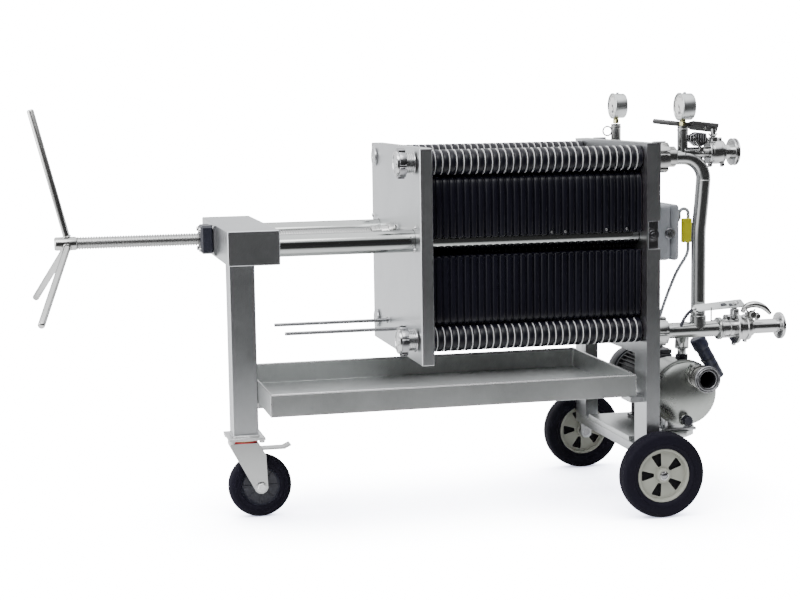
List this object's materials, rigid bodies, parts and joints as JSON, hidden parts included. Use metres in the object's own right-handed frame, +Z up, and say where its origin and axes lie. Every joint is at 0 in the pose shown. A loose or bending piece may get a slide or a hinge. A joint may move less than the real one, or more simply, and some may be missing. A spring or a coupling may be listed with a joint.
{
  "type": "plate filter press",
  "caption": "Wheeled plate filter press: black filter plates on two rails, clamped by a screw with a three-armed hand wheel, with pump, valves, gauges and drip tray.",
  "frame": {"origin": "On the floor, under the middle of the part's bounding box.", "axes": "+X from the hand wheel along the press to the outlet valves, +Y away from the operator's side, which has the valves, +Z up."},
  "size_m": [1.7394, 0.59, 0.9795],
  "materials": {
    "satin_steel": "satin stainless steel",
    "polished_steel": "polished stainless steel",
    "chrome_bar": "ground and polished bar",
    "plate_plastic": "black moulded plastic, slightly glossy",
    "tyre_rubber": "black rubber",
    "rim_plastic": "cream grey moulded plastic",
    "block_plastic": "black plastic",
    "bronze": "turned bronze",
    "box_grey": "light grey plastic",
    "cable_grey": "grey cable sheath",
    "tag_yellow": "yellow plastic",
    "motor_grey": "grey painted casting",
    "slate_plastic": "slate blue plastic",
    "gauge_white": "steel case with a white dial"
  },
  "bodies": {
    "press_frame": {"axle": "satin_steel", "axle_beam": "satin_steel", "base_plate": "satin_steel", "bronze_nut": "bronze", "cable": "cable_grey", "cable_tag": "tag_yellow", "capacitor": "slate_plastic", "caster_plate": "satin_steel", "caster_race": "satin_steel", "crosshead": "satin_steel", "drain_plug": "block_plastic", "far_union": "polished_steel", "fixed_cap_low_far": "polished_steel", "fixed_head": "satin_steel", "gauge_far": "gauge_white", "gauge_near": "gauge_white", "lower_valve": "polished_steel", "manifold": "polished_steel", "motor": "motor_grey", "motor_cover": "motor_grey", "outlet_nut": "block_plastic", "post": "satin_steel", "pump_body": "polished_steel", "pump_port": "polished_steel", "rail_bolt_far": "polished_steel", "rail_bolt_near": "polished_steel", "rail_far": "chrome_bar", "rail_near": "chrome_bar", "ring_nut_upper": "polished_steel", "riser_pipe": "polished_steel", "screw_block": "block_plastic", "switch_box": "box_grey", "tray": "satin_steel", "upper_valve": "polished_steel"},
    "movable_head": {"movable_head": "satin_steel", "port_cap_top_near": "polished_steel", "port_cap_low_near": "polished_steel", "port_cap_top_far": "polished_steel", "port_cap_low_far": "polished_steel"},
    "closing_screw": {"screw": "satin_steel"},
    "plate_group_1": {"plates_1": "plate_plastic"},
    "plate_group_2": {"plates_2": "plate_plastic"},
    "plate_group_3": {"plates_3": "plate_plastic"},
    "plate_group_4": {"plates_4": "plate_plastic"},
    "plate_group_5": {"plates_5": "plate_plastic"},
    "plate_group_6": {"plates_6": "plate_plastic"},
    "trolley_wheel_near": {"rim_near": "rim_plastic", "tyre_near": "tyre_rubber"},
    "trolley_wheel_far": {"rim_far": "rim_plastic", "tyre_far": "tyre_rubber"},
    "caster_fork": {"caster_fork": "polished_steel"},
    "caster_wheel": {"caster_tyre": "tyre_rubber", "caster_hub": "block_plastic"},
    "brake_pedal": {"brake_pedal": "satin_steel"},
    "upper_lever": {"upper_lever": "satin_steel"},
    "lower_lever": {"lower_lever": "satin_steel"}
  },
  "joints": [
    {"name": "head_slide", "type": "slide", "parent": "press_frame", "child": "movable_head", "axis": [-1, 0, 0], "range_m": [0, 0.1505]},
    {"name": "screw_turn", "type": "hinge", "parent": "movable_head", "child": "closing_screw", "pos_m": [-0.69995, 0, 0.659], "axis": [1, 0, 0], "range_deg": [0, 9000]},
    {"name": "plate_group_1_slide", "type": "slide", "parent": "press_frame", "child": "plate_group_1", "axis": [-1, 0, 0], "range_m": [0, 0.1291]},
    {"name": "plate_group_2_slide", "type": "slide", "parent": "press_frame", "child": "plate_group_2", "axis": [-1, 0, 0], "range_m": [0, 0.1076]},
    {"name": "plate_group_3_slide", "type": "slide", "parent": "press_frame", "child": "plate_group_3", "axis": [-1, 0, 0], "range_m": [0, 0.0862]},
    {"name": "plate_group_4_slide", "type": "slide", "parent": "press_frame", "child": "plate_group_4", "axis": [-1, 0, 0], "range_m": [0, 0.0648]},
    {"name": "plate_group_5_slide", "type": "slide", "parent": "press_frame", "child": "plate_group_5", "axis": [-1, 0, 0], "range_m": [0, 0.0434]},
    {"name": "plate_group_6_slide", "type": "slide", "parent": "press_frame", "child": "plate_group_6", "axis": [-1, 0, 0], "range_m": [0, 0.0219]},
    {"name": "wheel_near_spin", "type": "hinge", "parent": "press_frame", "child": "trolley_wheel_near", "pos_m": [0.52505, -0.2715, 0.1], "axis": [0, 1, 0], "continuous": true},
    {"name": "wheel_far_spin", "type": "hinge", "parent": "press_frame", "child": "trolley_wheel_far", "pos_m": [0.52505, 0.2715, 0.1], "axis": [0, 1, 0], "continuous": true},
    {"name": "caster_swivel", "type": "hinge", "parent": "press_frame", "child": "caster_fork", "pos_m": [-0.4049, 0, 0.18], "axis": [0, 0, 1], "continuous": true},
    {"name": "caster_spin", "type": "hinge", "parent": "caster_fork", "child": "caster_wheel", "pos_m": [-0.3714, 0, 0.0747], "axis": [0, 1, 0], "continuous": true},
    {"name": "brake_tilt", "type": "hinge", "parent": "caster_fork", "child": "brake_pedal", "pos_m": [-0.3709, 0, 0.1598], "axis": [0, 1, 0], "range_deg": [-6, 6]},
    {"name": "upper_lever_turn", "type": "hinge", "parent": "press_frame", "child": "upper_lever", "pos_m": [0.68135, -0.2, 0.905], "axis": [0, 0, 1], "range_deg": [-90, 0]},
    {"name": "lower_lever_turn", "type": "hinge", "parent": "press_frame", "child": "lower_lever", "pos_m": [0.73935, -0.2, 0.484], "axis": [0, 0, 1], "range_deg": [0, 90]}
  ],
  "couplings": [
    {"joint": "head_slide", "follows": "screw_turn", "m_per_rad": 0.00095493},
    {"joint": "plate_group_1_slide", "follows": "screw_turn", "m_per_rad": 0.00081851},
    {"joint": "plate_group_2_slide", "follows": "screw_turn", "m_per_rad": 0.00068209},
    {"joint": "plate_group_3_slide", "follows": "screw_turn", "m_per_rad": 0.00054567},
    {"joint": "plate_group_4_slide", "follows": "screw_turn", "m_per_rad": 0.00040926},
    {"joint": "plate_group_5_slide", "follows": "screw_turn", "m_per_rad": 0.00027284},
    {"joint": "plate_group_6_slide", "follows": "screw_turn", "m_per_rad": 0.00013642}
  ]
}
